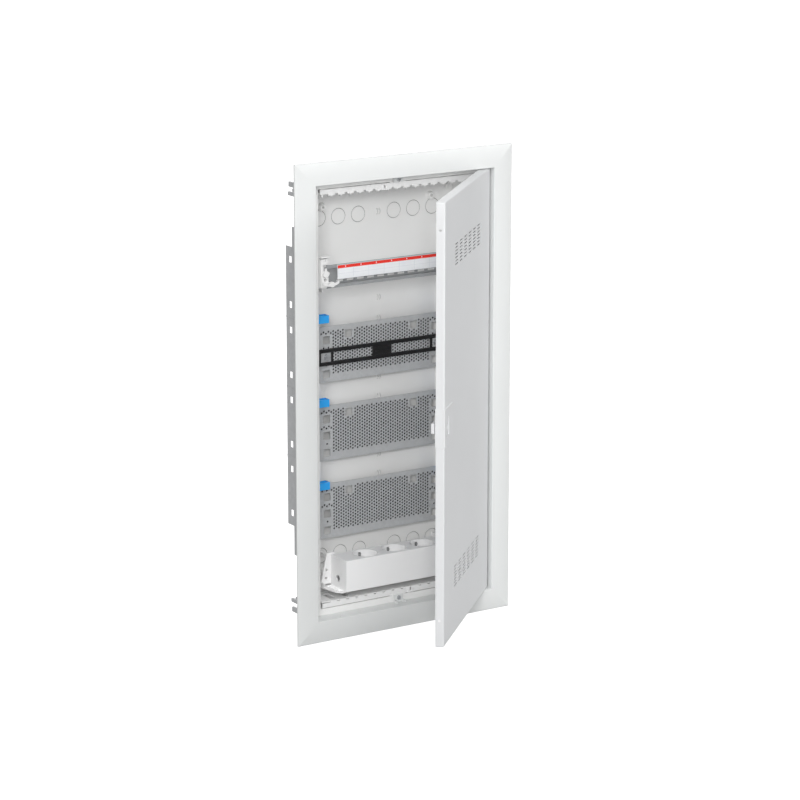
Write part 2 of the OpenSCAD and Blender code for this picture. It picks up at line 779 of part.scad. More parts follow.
// A swinging claw at the top right corner, with a hub on its screw and two prongs
module claw() translate([claw_x, 0, claw_z]) difference() {
    union() {
        rod(0, 0, [44, 66], 5.4);
        block([0, 14], [44, 47], [-5.4, 15.5]);
        block([12, 15.4], [44, 60], [8, 15.5]);
        block([12, 15.4], [44, 62], [-5.2, 0.4]);
    }
    rod(0, 0, [40, 70], claw_bore);
}

module claw_top_right() color(zinc) in_wall() claw();
module claw_top_left() color(zinc) in_wall() mirror([1, 0, 0]) claw();
module claw_bottom_right() color(zinc) in_wall() mirror([0, 0, 1]) claw();
module claw_bottom_left() color(zinc) in_wall() mirror([1, 0, 0]) mirror([0, 0, 1]) claw();

module claw_screws() color(steel) in_wall() both_sides() top_and_bottom() {
    translate([claw_x, step_depth, claw_z]) rotate([90, 0, 0]) screw_head(4, 0.4 + lip_t);
    rod(claw_x, claw_z, [step_depth - eps, 72], 2.05);
}

// ---------------------------------------------------------------- door

// Carries a part drawn in the closed door's place to where the open door stands
module on_door() {
    translate([hinge_x, hinge_d, 0]) rotate([0, 0, door_open]) translate([-hinge_x, -hinge_d, 0]) children();
}

slot_l = 21;
slot_h = 2;
vent_pitch_x = 30.6;
vent_pitch_z = 4.95;
vent_z = 243;
latch_w = 49;
latch_half = 28.5;
latch_cut = [-door_w / 2 - 1, -door_w / 2 + latch_w - 4];
latch_d = [door_face, door_face + door_t + 0.8];
flange_hole_z = 290.5;

module vent_group() for (i = [0 : vent_cols - 1]) for (j = [0 : vent_rows - 1])
    translate([(i - (vent_cols - 1) / 2) * vent_pitch_x, (j - (vent_rows - 1) / 2) * vent_pitch_z])
        square([slot_l, slot_h], center = true);

module door_panel() color(door_white) in_wall() on_door() difference() {
    block([-door_w / 2, door_w / 2], [door_face, door_face + door_t], [-door_h / 2, door_h / 2]);
    block([-door_w / 2 + sheet_t, door_w / 2 - sheet_t], [door_face + sheet_t, door_face + door_t + 1],
          [-door_h / 2 + sheet_t, door_h / 2 - sheet_t]);
    for (z = [-vent_z, vent_z])
        plate_xz([door_face - 1, door_face + sheet_t + 1]) translate([0, z]) vent_group();
    // Opening for the latch, through the face and the free-edge flange
    block(latch_cut, [door_face - 1, door_face + door_t + 1], [-latch_half + 4, latch_half - 4]);
    for (z = [-flange_hole_z, flange_hole_z])
        translate([-door_w / 2 - 1, 0.5, z]) rotate([0, 90, 0]) cylinder(h = sheet_t + 2, r = 1.8);
    top_and_bottom() translate([hinge_x, hinge_d, door_h / 2 - 3]) cylinder(h = 5, r = pin_r + pin_play);
}

// Brackets inside the door's hinge corners that hold the pins
module hinge_brackets() color(steel) in_wall() on_door() top_and_bottom() difference() {
    union() {
        block([hinge_x - 9, door_w / 2 - sheet_t], [door_face + sheet_t, 4], [313, 314.6]);
        block([hinge_x - 9, door_w / 2 - sheet_t], [door_face + sheet_t, door_face + sheet_t + 1.2],
              [314.6, door_h / 2 - sheet_t]);
        block([hinge_x - 9, hinge_x - 7.4], [door_face + sheet_t, 4], [314.6, door_h / 2 - sheet_t]);
    }
    translate([hinge_x, hinge_d, 310]) cylinder(h = 8, r = pin_r + pin_play);
}

pin_tip = open_h / 2 + lip_t + 2.6;

module hinge_pins() color(steel) in_wall() on_door() top_and_bottom() translate([hinge_x, hinge_d, 0]) {
    translate([0, 0, 309]) cylinder(h = pin_tip - 309, r = pin_r);
    translate([0, 0, 307.4]) cylinder(h = 1.6, r = 2.2);
    translate([0, 0, 316]) cylinder(h = 1.2, r = 1.55);
}

// Bearing plates on the back of the frame's lip, one above and one below the door
module hinge_plates() color(steel) in_wall() top_and_bottom() difference() {
    block([hinge_x - 10, hinge_x + 8], [hinge_d - 1.9, 0.8], [open_h / 2 + lip_t, open_h / 2 + lip_t + 1.6]);
    translate([hinge_x, hinge_d, open_h / 2]) cylinder(h = 6, r = pin_r + pin_play);
}

button_x = [-door_w / 2 + 5, -door_w / 2 + 21];
button_half = 13;
bolt_half = 7.2;
bolt_tip = -open_w / 2 - 1.7;
slide_travel = 5;

// The latch's body: a raised cover plate over a hollow block in the door's free edge
module latch_housing() color(white) in_wall() on_door() difference() {
    union() {
        block([-door_w / 2 - 0.6, -door_w / 2 + latch_w], [door_face - 1, door_face],
              [-latch_half, latch_half]);
        block([-door_w / 2 - 0.6, -door_w / 2], latch_d, [-latch_half, latch_half]);
        block([-door_w / 2, -door_w / 2 + latch_w - 4.2], latch_d, [-latch_half + 4.1, latch_half - 4.1]);
    }
    // Window for the button, hollow for the slider, and gap for the bolt
    block([button_x[0], button_x[1] + slide_travel + 0.3], [door_face - 2, door_face + 5],
          [-button_half - 0.3, button_half + 0.3]);
    block([-door_w / 2 + 2, -door_w / 2 + latch_w - 6], [door_face + 2.4, door_face + door_t + 2],
          [-latch_half + 6, latch_half - 6]);
}

module latch_slider() color(white) in_wall() on_door() difference() {
    union() {
        block([button_x[0] + 0.3, button_x[1]], [door_face - 0.8, door_face + 4],
              [-button_half, button_half]);
        block([button_x[0] + 0.3, button_x[1] + 3], [door_face + 4, door_face + door_t + 1.9],
              [-bolt_half, bolt_half]);
        block([bolt_tip, button_x[1] + 3], [8.6, 12.9], [-bolt_half, bolt_half]);
    }
    // Finger recess in the button
    translate([button_x[0] + 8, door_face - 6.4, 0]) sphere(r = 7.2);
}

// Zigzag leaf spring between the slider and the housing's end wall
spring_t = 0.6;
spring_leaves = 6;
spring_from = button_x[1] + 3.1;
spring_to = -door_w / 2 + latch_w - 6.1;
spring_pitch = (spring_to - spring_from - spring_t) / (spring_leaves - 1);

module latch_spring() color(steel) in_wall() on_door() for (i = [0 : spring_leaves - 1]) {
    x = spring_from + i * spring_pitch;
    side = i % 2 == 0 ? 1 : -1;
    block([x, x + spring_t], [door_face + 6, door_face + 12], [-6, 6]);
    if (i < spring_leaves - 1)
        block([x, x + spring_pitch + spring_t], [door_face + 6, door_face + 12],
              [side * 6 - spring_t / 2, side * 6 + spring_t / 2]);
}

// ---------------------------------------------------------------- nodes

wall_box();
trim_frame();
frame_clamp_top();
frame_clamp_bottom();
frame_clamp_screws();
comb_flange_top();
comb_flange_bottom();
side_upright_left();
side_upright_right();
upright_screws();
din_rail();
rail_bracket_left();
rail_bracket_right();
rail_knob_left();
rail_knob_right();
rail_lever_left();
rail_lever_right();
label_holder();
label_band();
plate_upper();
plate_middle();
plate_lower();
plate_screws();
catch_upper_left();
catch_middle_left();
catch_lower_left();
catch_upper_right();
catch_middle_right();
catch_lower_right();
device_strap();
strap_anchors();
strap_stud_left();
strap_stud_right();
strip_housing();
strip_base();
socket_left();
socket_middle();
socket_right();
earth_clips();
live_busbar();
neutral_busbar();
earth_bar();
strip_bracket_left();
strip_bracket_right();
strip_screws();
wall_bracket_left();
wall_bracket_right();
bracket_screws();
claw_screws();
claw_top_left();
claw_top_right();
claw_bottom_left();
claw_bottom_right();
hinge_plates();
door_panel();
hinge_brackets();
hinge_pins();
latch_housing();
latch_slider();
latch_spring();
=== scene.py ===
import json
import math

import bmesh
import bpy
from mathutils import Matrix, Vector


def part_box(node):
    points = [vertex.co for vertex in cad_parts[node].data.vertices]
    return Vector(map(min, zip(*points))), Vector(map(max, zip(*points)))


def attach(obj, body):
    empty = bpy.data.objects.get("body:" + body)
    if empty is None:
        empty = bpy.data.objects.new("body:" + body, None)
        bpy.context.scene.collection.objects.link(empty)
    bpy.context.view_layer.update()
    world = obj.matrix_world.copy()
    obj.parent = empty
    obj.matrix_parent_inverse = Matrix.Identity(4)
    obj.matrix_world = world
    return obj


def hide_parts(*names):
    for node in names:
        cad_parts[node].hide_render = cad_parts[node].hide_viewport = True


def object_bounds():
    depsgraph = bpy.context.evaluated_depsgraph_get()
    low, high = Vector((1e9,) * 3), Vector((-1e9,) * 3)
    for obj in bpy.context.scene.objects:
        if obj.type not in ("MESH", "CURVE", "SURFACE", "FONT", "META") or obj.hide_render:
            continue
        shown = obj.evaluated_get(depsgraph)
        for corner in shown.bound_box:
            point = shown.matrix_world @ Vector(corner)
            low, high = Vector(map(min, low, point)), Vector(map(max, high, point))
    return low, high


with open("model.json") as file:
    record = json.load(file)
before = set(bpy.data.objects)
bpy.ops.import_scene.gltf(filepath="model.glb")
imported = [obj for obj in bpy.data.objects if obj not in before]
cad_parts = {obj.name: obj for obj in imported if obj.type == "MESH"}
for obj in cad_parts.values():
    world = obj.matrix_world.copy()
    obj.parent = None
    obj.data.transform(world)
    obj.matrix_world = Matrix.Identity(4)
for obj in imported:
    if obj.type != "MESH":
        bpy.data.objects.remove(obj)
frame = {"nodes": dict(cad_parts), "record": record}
cad_bounds = [list(v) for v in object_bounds()]
NODES = frame["nodes"]
RECORD = frame["record"]
MM = 0.001
# The finished wall surface lies this far in front of the row's origin
WALL_Y = -0.083
SLOT_OF = {s["node"]: s["material_slot"] for s in RECORD["subparts"]}
JOINTS = {j["name"]: j for j in RECORD["behaviour"]["joints"]}

# ------------------------------------------------------------------ camera

YAW, PITCH = 0.56993, 0.23766
CAMERA_PLACE = (-2.4425, -3.8812, 1.0844)
LENS, SENSOR = 138.23, 36
forward = Vector((math.sin(YAW) * math.cos(PITCH), math.cos(YAW) * math.cos(PITCH), -math.sin(PITCH)))
right = Vector((math.cos(YAW), -math.sin(YAW), 0))
camera_data = bpy.data.cameras.new("camera")
camera_data.lens = LENS
camera_data.sensor_width = SENSOR
camera_data.clip_end = 100
camera = bpy.data.objects.new("camera", camera_data)
bpy.context.scene.collection.objects.link(camera)
camera.matrix_world = Matrix.Translation(CAMERA_PLACE) @ Matrix(
    (right, right.cross(forward), -forward)).transposed().to_4x4()
bpy.context.scene.camera = camera

# ------------------------------------------------------------------ materials


class Nodes:
    """A small helper that adds shader nodes and links them."""

    def __init__(self, name):
        self.material = bpy.data.materials.new(name)
        self.material.use_nodes = True
        self.tree = self.material.node_tree
        self.shader = self.tree.nodes["Principled BSDF"]
        self.coords = self.add("ShaderNodeTexCoord").outputs["Object"]

    def add(self, kind, **values):
        node = self.tree.nodes.new(kind)
        for key, value in values.items():
            setattr(node, key, value)
        return node

    def link(self, source, target):
        self.tree.links.new(source, target)

    def noise(self, scale, detail=2.0, roughness=0.5, stretch=None):
        node = self.add("ShaderNodeTexNoise")
        node.inputs["Scale"].default_value = scale
        node.inputs["Detail"].default_value = detail
        node.inputs["Roughness"].default_value = roughness
        source = self.coords
        if stretch:
            mapping = self.add("ShaderNodeMapping")
            mapping.inputs["Scale"].default_value = stretch
            self.link(self.coords, mapping.inputs["Vector"])
            source = mapping.outputs["Vector"]
        self.link(source, node.inputs["Vector"])
        return node.outputs["Fac"]

    def ramp(self, source, low, high, start=0.3, end=0.7):
        node = self.add("ShaderNodeMapRange")
        node.inputs["From Min"].default_value = start
        node.inputs["From Max"].default_value = end
        node.inputs["To Min"].default_value = low
        node.inputs["To Max"].default_value = high
        self.link(source, node.inputs["Value"])
        return node.outputs["Result"]

    def mix(self, fac, a, b):
        node = self.add("ShaderNodeMix", data_type="RGBA")
        for index, value in ((6, a), (7, b)):
            if hasattr(value, "links"):
                self.link(value, node.inputs[index])
            else:
                node.inputs[index].default_value = (*value, 1)
        self.link(fac, node.inputs[0])
        return node.outputs[2]

    def bump(self, source, distance, strength=1.0, after=None):
        node = self.add("ShaderNodeBump")
        node.inputs["Distance"].default_value = distance
        node.inputs["Strength"].default_value = strength
        self.link(source, node.inputs["Height"])
        if after is not None:
            self.link(after, node.inputs["Normal"])
        return node.outputs["Normal"]


def shade(rgb, factor):
    return tuple(min(1.0, c * factor) for c in rgb)


def moulded(name, rgb, roughness=0.42, grain=1400, depth=0.00001, spread=0.02):
    """Moulded plastic: fine grain and slow tone changes."""
    m = Nodes(name)
    slow = m.ramp(m.noise(9, 3), 0, 1)
    m.link(m.mix(slow, shade(rgb, 1 - spread), shade(rgb, 1 + spread)), m.shader.inputs["Base Color"])
    fine = m.noise(grain, 3, 0.6)
    m.link(m.ramp(fine, roughness - 0.05, roughness + 0.07), m.shader.inputs["Roughness"])
    m.link(m.bump(fine, depth), m.shader.inputs["Normal"])
    m.shader.inputs["Specular IOR Level"].default_value = 0.4
    return m.material


def powder_coat(name, rgb):
    """Sheet steel with a fine-textured powder coat."""
    m = Nodes(name)
    slow = m.ramp(m.noise(5, 3), 0, 1)
    colour = m.mix(slow, shade(rgb, 0.985), shade(rgb, 1.015))
    speck = m.ramp(m.noise(2600, 2), 0, 0.12, 0.62, 0.75)
    colour = m.mix(speck, colour, shade(rgb, 0.8))
    m.link(colour, m.shader.inputs["Base Color"])
    coarse = m.noise(900, 3, 0.6)
    m.link(m.ramp(coarse, 0.38, 0.52), m.shader.inputs["Roughness"])
    peel = m.bump(m.noise(320, 2), 0.00003, 0.6)
    m.link(m.bump(coarse, 0.000012, 1.0, peel), m.shader.inputs["Normal"])
    m.shader.inputs["Specular IOR Level"].default_value = 0.45
    return m.material


def galvanised(name, rgb, metallic=0.55, roughness=0.45, spangle=160, brushed=None):
    """Zinc-coated steel: spangle, fine rolling lines and patchy gloss."""
    m = Nodes(name)
    cells = m.add("ShaderNodeTexVoronoi")
    cells.inputs["Scale"].default_value = spangle
    m.link(m.coords, cells.inputs["Vector"])
    flake = m.add("ShaderNodeRGBToBW")
    m.link(cells.outputs["Color"], flake.inputs["Color"])
    tone = m.ramp(flake.outputs["Val"], 0, 1, 0.1, 0.9)
    colour = m.mix(tone, shade(rgb, 0.95), shade(rgb, 1.05))
    cloud = m.ramp(m.noise(14, 4), 0, 0.3)
    colour = m.mix(cloud, colour, shade(rgb, 0.88))
    m.link(colour, m.shader.inputs["Base Color"])
    lines = m.noise(500, 3, 0.6, brushed or LINES_ALONG)
    m.link(m.ramp(lines, roughness - 0.08, roughness + 0.1), m.shader.inputs["Roughness"])
    m.link(m.bump(lines, 0.000006), m.shader.inputs["Normal"])
    m.shader.inputs["Metallic"].default_value = metallic
    return m.material


def printed(name, rgb):
    """Printed or extruded smooth strip."""
    m = Nodes(name)
    slow = m.ramp(m.noise(60, 3), 0, 1)
    m.link(m.mix(slow, shade(rgb, 0.97), shade(rgb, 1.03)), m.shader.inputs["Base Color"])
    fine = m.noise(2200, 2)
    m.link(m.ramp(fine, 0.3, 0.42), m.shader.inputs["Roughness"])
    m.link(m.bump(fine, 0.000004), m.shader.inputs["Normal"])
    return m.material


# Stretch of the noise that draws rolling lines along X, or upright
LINES_ALONG = (0.05, 1, 1)
LINES_UPRIGHT = (1, 1, 0.05)
MATERIALS = {
    "box_plastic": moulded("box_plastic", (0.92, 0.92, 0.91), 0.5, 1100, 0.000014),
    "frame_plastic": moulded("frame_plastic", (0.80, 0.815, 0.81), 0.36, 1500, 0.000005, 0.008),
    "inner_plastic": moulded("inner_plastic", (0.90, 0.90, 0.895), 0.42),
    "strip_plastic": moulded("strip_plastic", (0.97, 0.97, 0.97), 0.4, 1300, 0.000008, 0.01),
    "rail_steel": galvanised("rail_steel", (0.42, 0.43, 0.44), 0.3, 0.4, 300),
    "plate_steel": galvanised("plate_steel", (0.56, 0.57, 0.58), 0.15, 0.5, 220),
    "bracket_steel": galvanised("bracket_steel", (0.60, 0.61, 0.62), 0.2, 0.45, 200, LINES_UPRIGHT),
    "screw_steel": galvanised("screw_steel", (0.58, 0.59, 0.61), 0.8, 0.3, 400),
    "label_plastic": printed("label_plastic", (0.93, 0.95, 0.985)),
    "label_red": printed("label_red", (0.93, 0.045, 0.028)),
    "catch_blue": moulded("catch_blue", (0.035, 0.42, 0.98), 0.32, 900, 0.000006, 0.04),
    "strap_black": moulded("strap_black", (0.012, 0.012, 0.013), 0.42, 1200, 0.00001, 0.1),
    "contact_nickel": galvanised("contact_nickel", (0.42, 0.43, 0.43), 0.8, 0.35, 500),
    "door_paint": powder_coat("door_paint", (0.82, 0.83, 0.84)),
    "latch_plastic": moulded("latch_plastic", (0.82, 0.83, 0.84), 0.4, 1500, 0.000006, 0.008),
}
# Materials of small pieces that have no slot of their own
LINE_GREY = printed("line_grey", (0.66, 0.70, 0.76))
CLEAR_EDGE = printed("clear_edge", (0.58, 0.76, 0.78))
# Painted shade: near-black for the sheet behind the perforation of the plates
PERFORATION_SHADE_GREY = moulded("perforation_shade_grey", (0.035, 0.035, 0.036), 0.6)
# Painted shade: a grey darker than the wall for the moulded arcs on the rear wall
MARK_SHADE_GREY = moulded("mark_shade_grey", (0.74, 0.745, 0.735), 0.5)
SHADOW_GREY = moulded("shadow_grey", (0.32, 0.32, 0.32), 0.6)
# Painted shade: near-black for the inside of the vent hoods, so that the slots look shaded
VENT_SHADE_GREY = moulded("vent_shade_grey", (0.08, 0.08, 0.08), 0.7)

for node, obj in NODES.items():
    obj.data.materials.clear()
    obj.data.materials.append(MATERIALS[SLOT_OF[node]])

# ------------------------------------------------------------------ mesh helpers, in millimetres


def loop_of(half_w, half_h, radius=0.0, steps=4):
    """A rectangle about the origin, anticlockwise, with rounded or square corners."""
    if not radius:
        return [(half_w, half_h), (-half_w, half_h), (-half_w, -half_h), (half_w, -half_h)]
    points = []
    for sx, sy, start in ((1, 1, 0), (-1, 1, 90), (-1, -1, 180), (1, -1, 270)):
        for i in range(steps + 1):
            a = math.radians(start + 90 * i / steps)
            points.append((sx * (half_w - radius) + radius * math.cos(a),
                           sy * (half_h - radius) + radius * math.sin(a)))
    return points


def rectangle(x, y, w, h, radius=0.0):
    return [(px + x, py + y) for px, py in loop_of(w / 2, h / 2, radius)]


def circle(x, y, r, n=16, start=0.0):
    angles = [start + 2 * math.pi * i / n for i in range(n)]
    return [(x + r * math.cos(a), y + r * math.sin(a)) for a in angles]


def arc(x, y, r, start, end, n=8):
    """Points along an arc, with its angles in degrees."""
    return [(x + r * math.cos(math.radians(start + (end - start) * i / n)),
             y + r * math.sin(math.radians(start + (end - start) * i / n))) for i in range(n + 1)]


def swept_ring(half_w, half_h, profile, radius=0.0):
    """A closed profile of (inset, height) points swept round a rectangle.

    Without a radius the corners are mitred.
    """
    bm = bmesh.new()
    rows = []
    for inset, height in profile:
        corner = max(radius - inset, 0.02) if radius else 0.0
        loop = loop_of(half_w - inset, half_h - inset, corner)
        rows.append([bm.verts.new((x, y, height)) for x, y in loop])
    count = len(rows[0])
    for a, b in zip(rows, rows[1:] + rows[:1]):
        for i in range(count):
            j = (i + 1) % count
            bm.faces.new((a[i], a[j], b[j], b[i]))
    bmesh.ops.recalc_face_normals(bm, faces=bm.faces)
    mesh = bpy.data.meshes.new("ring")
    bm.to_mesh(mesh)
    bm.free()
    return mesh


def block(x, y, z):
    """A box given by its limits."""
    bm = bmesh.new()
    bmesh.ops.create_cube(bm, size=1)
    for v in bm.verts:
        v.co = Vector([(lim[0] + lim[1]) / 2 + c * (lim[1] - lim[0]) for lim, c in zip((x, y, z), v.co)])
    mesh = bpy.data.meshes.new("block")
    bm.to_mesh(mesh)
    bm.free()
    return mesh


def cylinder(place, axis, r, length, n=32, r_end=None):
    """A cylinder or cone with its middle at place, along the local axis X or Y."""
    bm = bmesh.new()
    bmesh.ops.create_cone(bm, cap_ends=True, segments=n, radius1=r,
                          radius2=r if r_end is None else r_end, depth=length)
    turn = {"X": Matrix.Rotation(math.pi / 2, 4, "Y"), "Y": Matrix.Rotation(-math.pi / 2, 4, "X")}[axis]
    bm.transform(Matrix.Translation(place) @ turn)
    mesh = bpy.data.meshes.new("cylinder")
    bm.to_mesh(mesh)
    bm.free()
    return mesh


def sheet(loops, low, high, bevel=0.0):
    """A flat sheet in local X-Y between two heights. Loops inside the first one are holes."""
    curve = bpy.data.curves.new("sheet", "CURVE")
    curve.dimensions = "2D"
    curve.fill_mode = "BOTH"
    curve.extrude = (high - low) / 2 - bevel
    curve.bevel_depth = bevel
    curve.bevel_resolution = 2
    curve.offset = -bevel
    for loop in loops:
        spline = curve.splines.new("POLY")
        spline.points.add(len(loop) - 1)
        for point, (x, y) in zip(spline.points, loop):
            point.co = (x, y, 0, 1)
        spline.use_cyclic_u = True
    mesh = mesh_of(curve)
    mesh.transform(Matrix.Translation((0, 0, (low + high) / 2)))
    return mesh


def wire(points, r):
    """A round wire through points."""
    curve = bpy.data.curves.new("wire", "CURVE")
    curve.dimensions = "3D"
    curve.bevel_depth = r
    curve.bevel_resolution = 2
    curve.use_fill_caps = True
    spline = curve.splines.new("POLY")
    spline.points.add(len(points) - 1)
    for point, place in zip(spline.points, points):
        point.co = (*place, 1)
    return mesh_of(curve)


def placed(name, data):
    """A new object in the scene."""
    obj = bpy.data.objects.new(name, data)
    bpy.context.scene.collection.objects.link(obj)
    return obj


def evaluated_mesh(obj):
    bpy.context.view_layer.update()
    return bpy.data.meshes.new_from_object(obj.evaluated_get(bpy.context.evaluated_depsgraph_get()))


def mesh_of(data):
    """The mesh of a curve."""
    holder = placed("holder", data)
    mesh = evaluated_mesh(holder)
    bpy.data.objects.remove(holder)
    return mesh


def cut(mesh, tools):
    """The mesh with the tool meshes cut out of it."""
    holder = placed("holder", mesh)
    cutters = []
    for tool in tools:
        cutter = placed("cutter", tool)
        modifier = holder.modifiers.new("cut", "BOOLEAN")
        modifier.operation = "DIFFERENCE"
        modifier.solver = "EXACT"
        modifier.object = cutter
        cutters.append(cutter)
    result = evaluated_mesh(holder)
    for obj in [holder] + cutters:
        bpy.data.objects.remove(obj)
    return result


def joined(name, meshes, crease=28.0, mitre=None):
    """One mesh from several, smooth but for edges sharper than crease.

    The mitre lines of a frame stay sharp too: mitre is its half height less its half width.
    """
    bm = bmesh.new()
    for mesh in meshes:
        bm.from_mesh(mesh)
    bmesh.ops.remove_doubles(bm, verts=bm.verts, dist=0.0005)
    limit = math.radians(crease)
    for face in bm.faces:
        face.smooth = True
    for edge in bm.edges:
        edge.smooth = len(edge.link_faces) == 2 and edge.calc_face_angle(0.0) < limit
        if mitre and all(abs(mitre - abs(v.co.y) + abs(v.co.x)) < 0.01 for v in edge.verts):
            edge.smooth = False
    result = bpy.data.meshes.new(name)
    bm.to_mesh(result)
    bm.free()
    return result


# ------------------------------------------------------------------ places

SCALE = Matrix.Scale(MM, 4)
# Local X, Y and Z become the row's X, Z and -Y, so heights are measured from the wall surface
FACING = Matrix.Translation((0, WALL_Y, 0)) @ Matrix.Rotation(math.pi / 2, 4, "X") @ SCALE
# Local Y is depth behind the wall surface and local Z is up
STANDING = Matrix.Translation((0, WALL_Y, 0)) @ SCALE
hinge = Vector(JOINTS["door_hinge"]["pos_m"])
door_open = math.radians(-JOINTS["door_hinge"]["range_deg"][0])
SWUNG = Matrix.Translation(hinge) @ Matrix.Rotation(door_open, 4, "Z") @ Matrix.Translation(-hinge)
ON_DOOR = SWUNG @ FACING


def extents(node):
    """The node's limits in millimetres: X, depth behind the wall surface, and Z."""
    lo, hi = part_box(node)
    return ((lo.x / MM, hi.x / MM), ((lo.y - WALL_Y) / MM, (hi.y - WALL_Y) / MM), (lo.z / MM, hi.z / MM))


def add_piece(name, mesh, place, body, slot, stands_for=(), material=None):
    """A visual piece from a mesh in millimetres. It may stand for CAD nodes and look unlike its slot."""
    mesh.transform(place)
    mesh.name = name
    mesh.materials.clear()
    mesh.materials.append(material or MATERIALS[slot])
    obj = placed(name, mesh)
    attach(obj, body)
    if stands_for:
        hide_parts(*stands_for)


# ------------------------------------------------------------------ trim frame

MEMBER = 34.5
LIP = 2.0
SKIN = 2.0
RIM, RIM_ROUND = 2.6, 0.8
EDGE_ROUND = 0.9
CURVE_STEPS = 28
UNDER_STEPS = 6
LATCH_WINDOW_Z = (-9, 9)
LATCH_WINDOW_D = (-13.6, -8)
PIN_R = 1.9
CLAMP_SCREW = (-116, -0.4)
CLAMP_SCREW_R = 1.2
frame_x, frame_d, frame_z = extents("trim_frame")
half_w, half_h = frame_x[1], frame_z[1]
rise = -frame_d[0]


def face_height(u):
    """Height of the convex face from the rim, u = 0, to the inner edge, u = 1."""
    return RIM + (rise - RIM) * (1 - (1 - u) ** 2.4)


def frame_profile():
    """Section of a frame member: rim, convex face, rounded inner edge, lip and underside."""
    start, end = RIM_ROUND, MEMBER - EDGE_ROUND
    shown = [(0, 0)] + [(RIM_ROUND - RIM_ROUND * math.cos(a), RIM - RIM_ROUND + RIM_ROUND * math.sin(a))
                        for a in (0, math.pi / 8, math.pi / 4, 3 * math.pi / 8)]
    for i in range(CURVE_STEPS + 1):
        x = start + (end - start) * i / CURVE_STEPS
        shown.append((x, face_height(x / MEMBER)))
    top = shown[-1][1]
    shown += [(end + EDGE_ROUND * math.sin(a), top - EDGE_ROUND + EDGE_ROUND * math.cos(a))
              for a in (math.pi / 8, math.pi / 4, 3 * math.pi / 8, math.pi / 2)]
    lip = [(MEMBER, -frame_d[1]), (MEMBER - LIP, -frame_d[1]), (MEMBER - LIP, rise - 2.2)]
    under = [(MEMBER * i / UNDER_STEPS, face_height(i / UNDER_STEPS) - SKIN)
             for i in range(UNDER_STEPS - 1, 0, -1)]
    return shown + lip + under + [(LIP, 0)]


moulding = swept_ring(half_w, half_h, frame_profile())
lip_mid = half_h - MEMBER + LIP / 2
window = block((-half_w + MEMBER - LIP - 1, -half_w + MEMBER + 1), LATCH_WINDOW_Z, LATCH_WINDOW_D)
pin_holes = [cylinder((hinge.x / MM, s * lip_mid, -(hinge.y - WALL_Y) / MM), "Y", PIN_R, 6)
             for s in (-1, 1)]
screw_hole = cylinder((CLAMP_SCREW[0], -lip_mid, CLAMP_SCREW[1]), "Y", CLAMP_SCREW_R, 6)
moulding = cut(moulding, [window, screw_hole] + pin_holes)
add_piece("frame_moulding", joined("frame_moulding", [moulding], 25, half_h - half_w), FACING, "cabinet",
          "frame_plastic", ["trim_frame"])

# ------------------------------------------------------------------ door

SHEET = 1.2
FOLD = 1.7
DOOR_GAP = 1.2
DOOR_T = 13.0
VENT_ROWS, VENT_COLUMNS = 7, 6
VENT_PITCH = (30.6, 4.95)
VENT_SLOT = (21.0, 2.0)
VENT_Z = 243.0
VENT_ROUND = 0.95
HOOD = 4.0
FLANGE_HOLE_Z, FLANGE_HOLE_R = 290.5, 1.8
# Height of the flange holes' middles behind the door's face
FLANGE_HOLE_D = 6.7
door_w, door_h = half_w - MEMBER - DOOR_GAP, half_h - MEMBER - DOOR_GAP


def folded_profile(wall, depth, fold):
    """Section of a shell's edge: flange outside, rounded fold, and the flange's inside."""
    outside = [(0, 0)] + [(fold - fold * math.cos(a), depth - fold + fold * math.sin(a))
                          for a in (0, math.pi / 10, math.pi / 5, 0.3 * math.pi, 0.4 * math.pi, math.pi / 2)]
    inner = fold - wall
    if inner <= 0:
        return outside + [(wall, depth), (wall, 0)]
    inside = [(fold - inner * math.sin(a), depth - wall - inner + inner * math.cos(a))
              for a in (0, math.pi / 6, math.pi / 3, math.pi / 2)]
    return outside + inside + [(wall, 0)]


def vent_loops(grow=0.0):
    """The outlines of all vent slots, each one larger by grow on every side."""
    loops = []
    for z in (-VENT_Z, VENT_Z):
        for i in range(VENT_COLUMNS):
            for j in range(VENT_ROWS):
                loops.append(rectangle((i - (VENT_COLUMNS - 1) / 2) * VENT_PITCH[0],
                                       z + (j - (VENT_ROWS - 1) / 2) * VENT_PITCH[1],
                                       VENT_SLOT[0] + 2 * grow, VENT_SLOT[1] + 2 * grow,
                                       VENT_ROUND + grow))
    return loops


door_back = rise - DOOR_T
ring = swept_ring(door_w, door_h, folded_profile(SHEET, DOOR_T, FOLD), 2.0)
flange_holes = [cylinder((-door_w, s * FLANGE_HOLE_Z, DOOR_T - FLANGE_HOLE_D), "X", FLANGE_HOLE_R, 6)
                for s in (-1, 1)]
ring = cut(ring, flange_holes)
face = sheet([loop_of(door_w - FOLD, door_h - FOLD, 0.3)] + vent_loops(), DOOR_T - SHEET, DOOR_T)
# Pressed hoods behind the vent slots: painted outside, and near-black inside as painted shade, so that the
# slots look shaded
hood_low = DOOR_T - SHEET - HOOD
hood_shade = [sheet(vent_loops(0.4) + vent_loops(), hood_low, DOOR_T - SHEET - 0.02),
          sheet(vent_loops(0.4), hood_low - 0.3, hood_low)]
shells = [sheet(vent_loops(0.8) + vent_loops(0.42), hood_low - 0.3, DOOR_T - SHEET + 0.02),
          sheet(vent_loops(0.8), hood_low - 0.7, hood_low - 0.3)]
leaf = joined("door_leaf", [ring, face] + shells)
leaf.transform(Matrix.Translation((0, 0, door_back)))
add_piece("door_leaf", leaf, ON_DOOR, "door", "door_paint", ["door_panel"])
hood_shade = joined("vent_shade_lining", hood_shade)
hood_shade.transform(Matrix.Translation((0, 0, door_back)))
add_piece("vent_shade_lining", hood_shade, ON_DOOR, "door", "door_paint", (), VENT_SHADE_GREY)

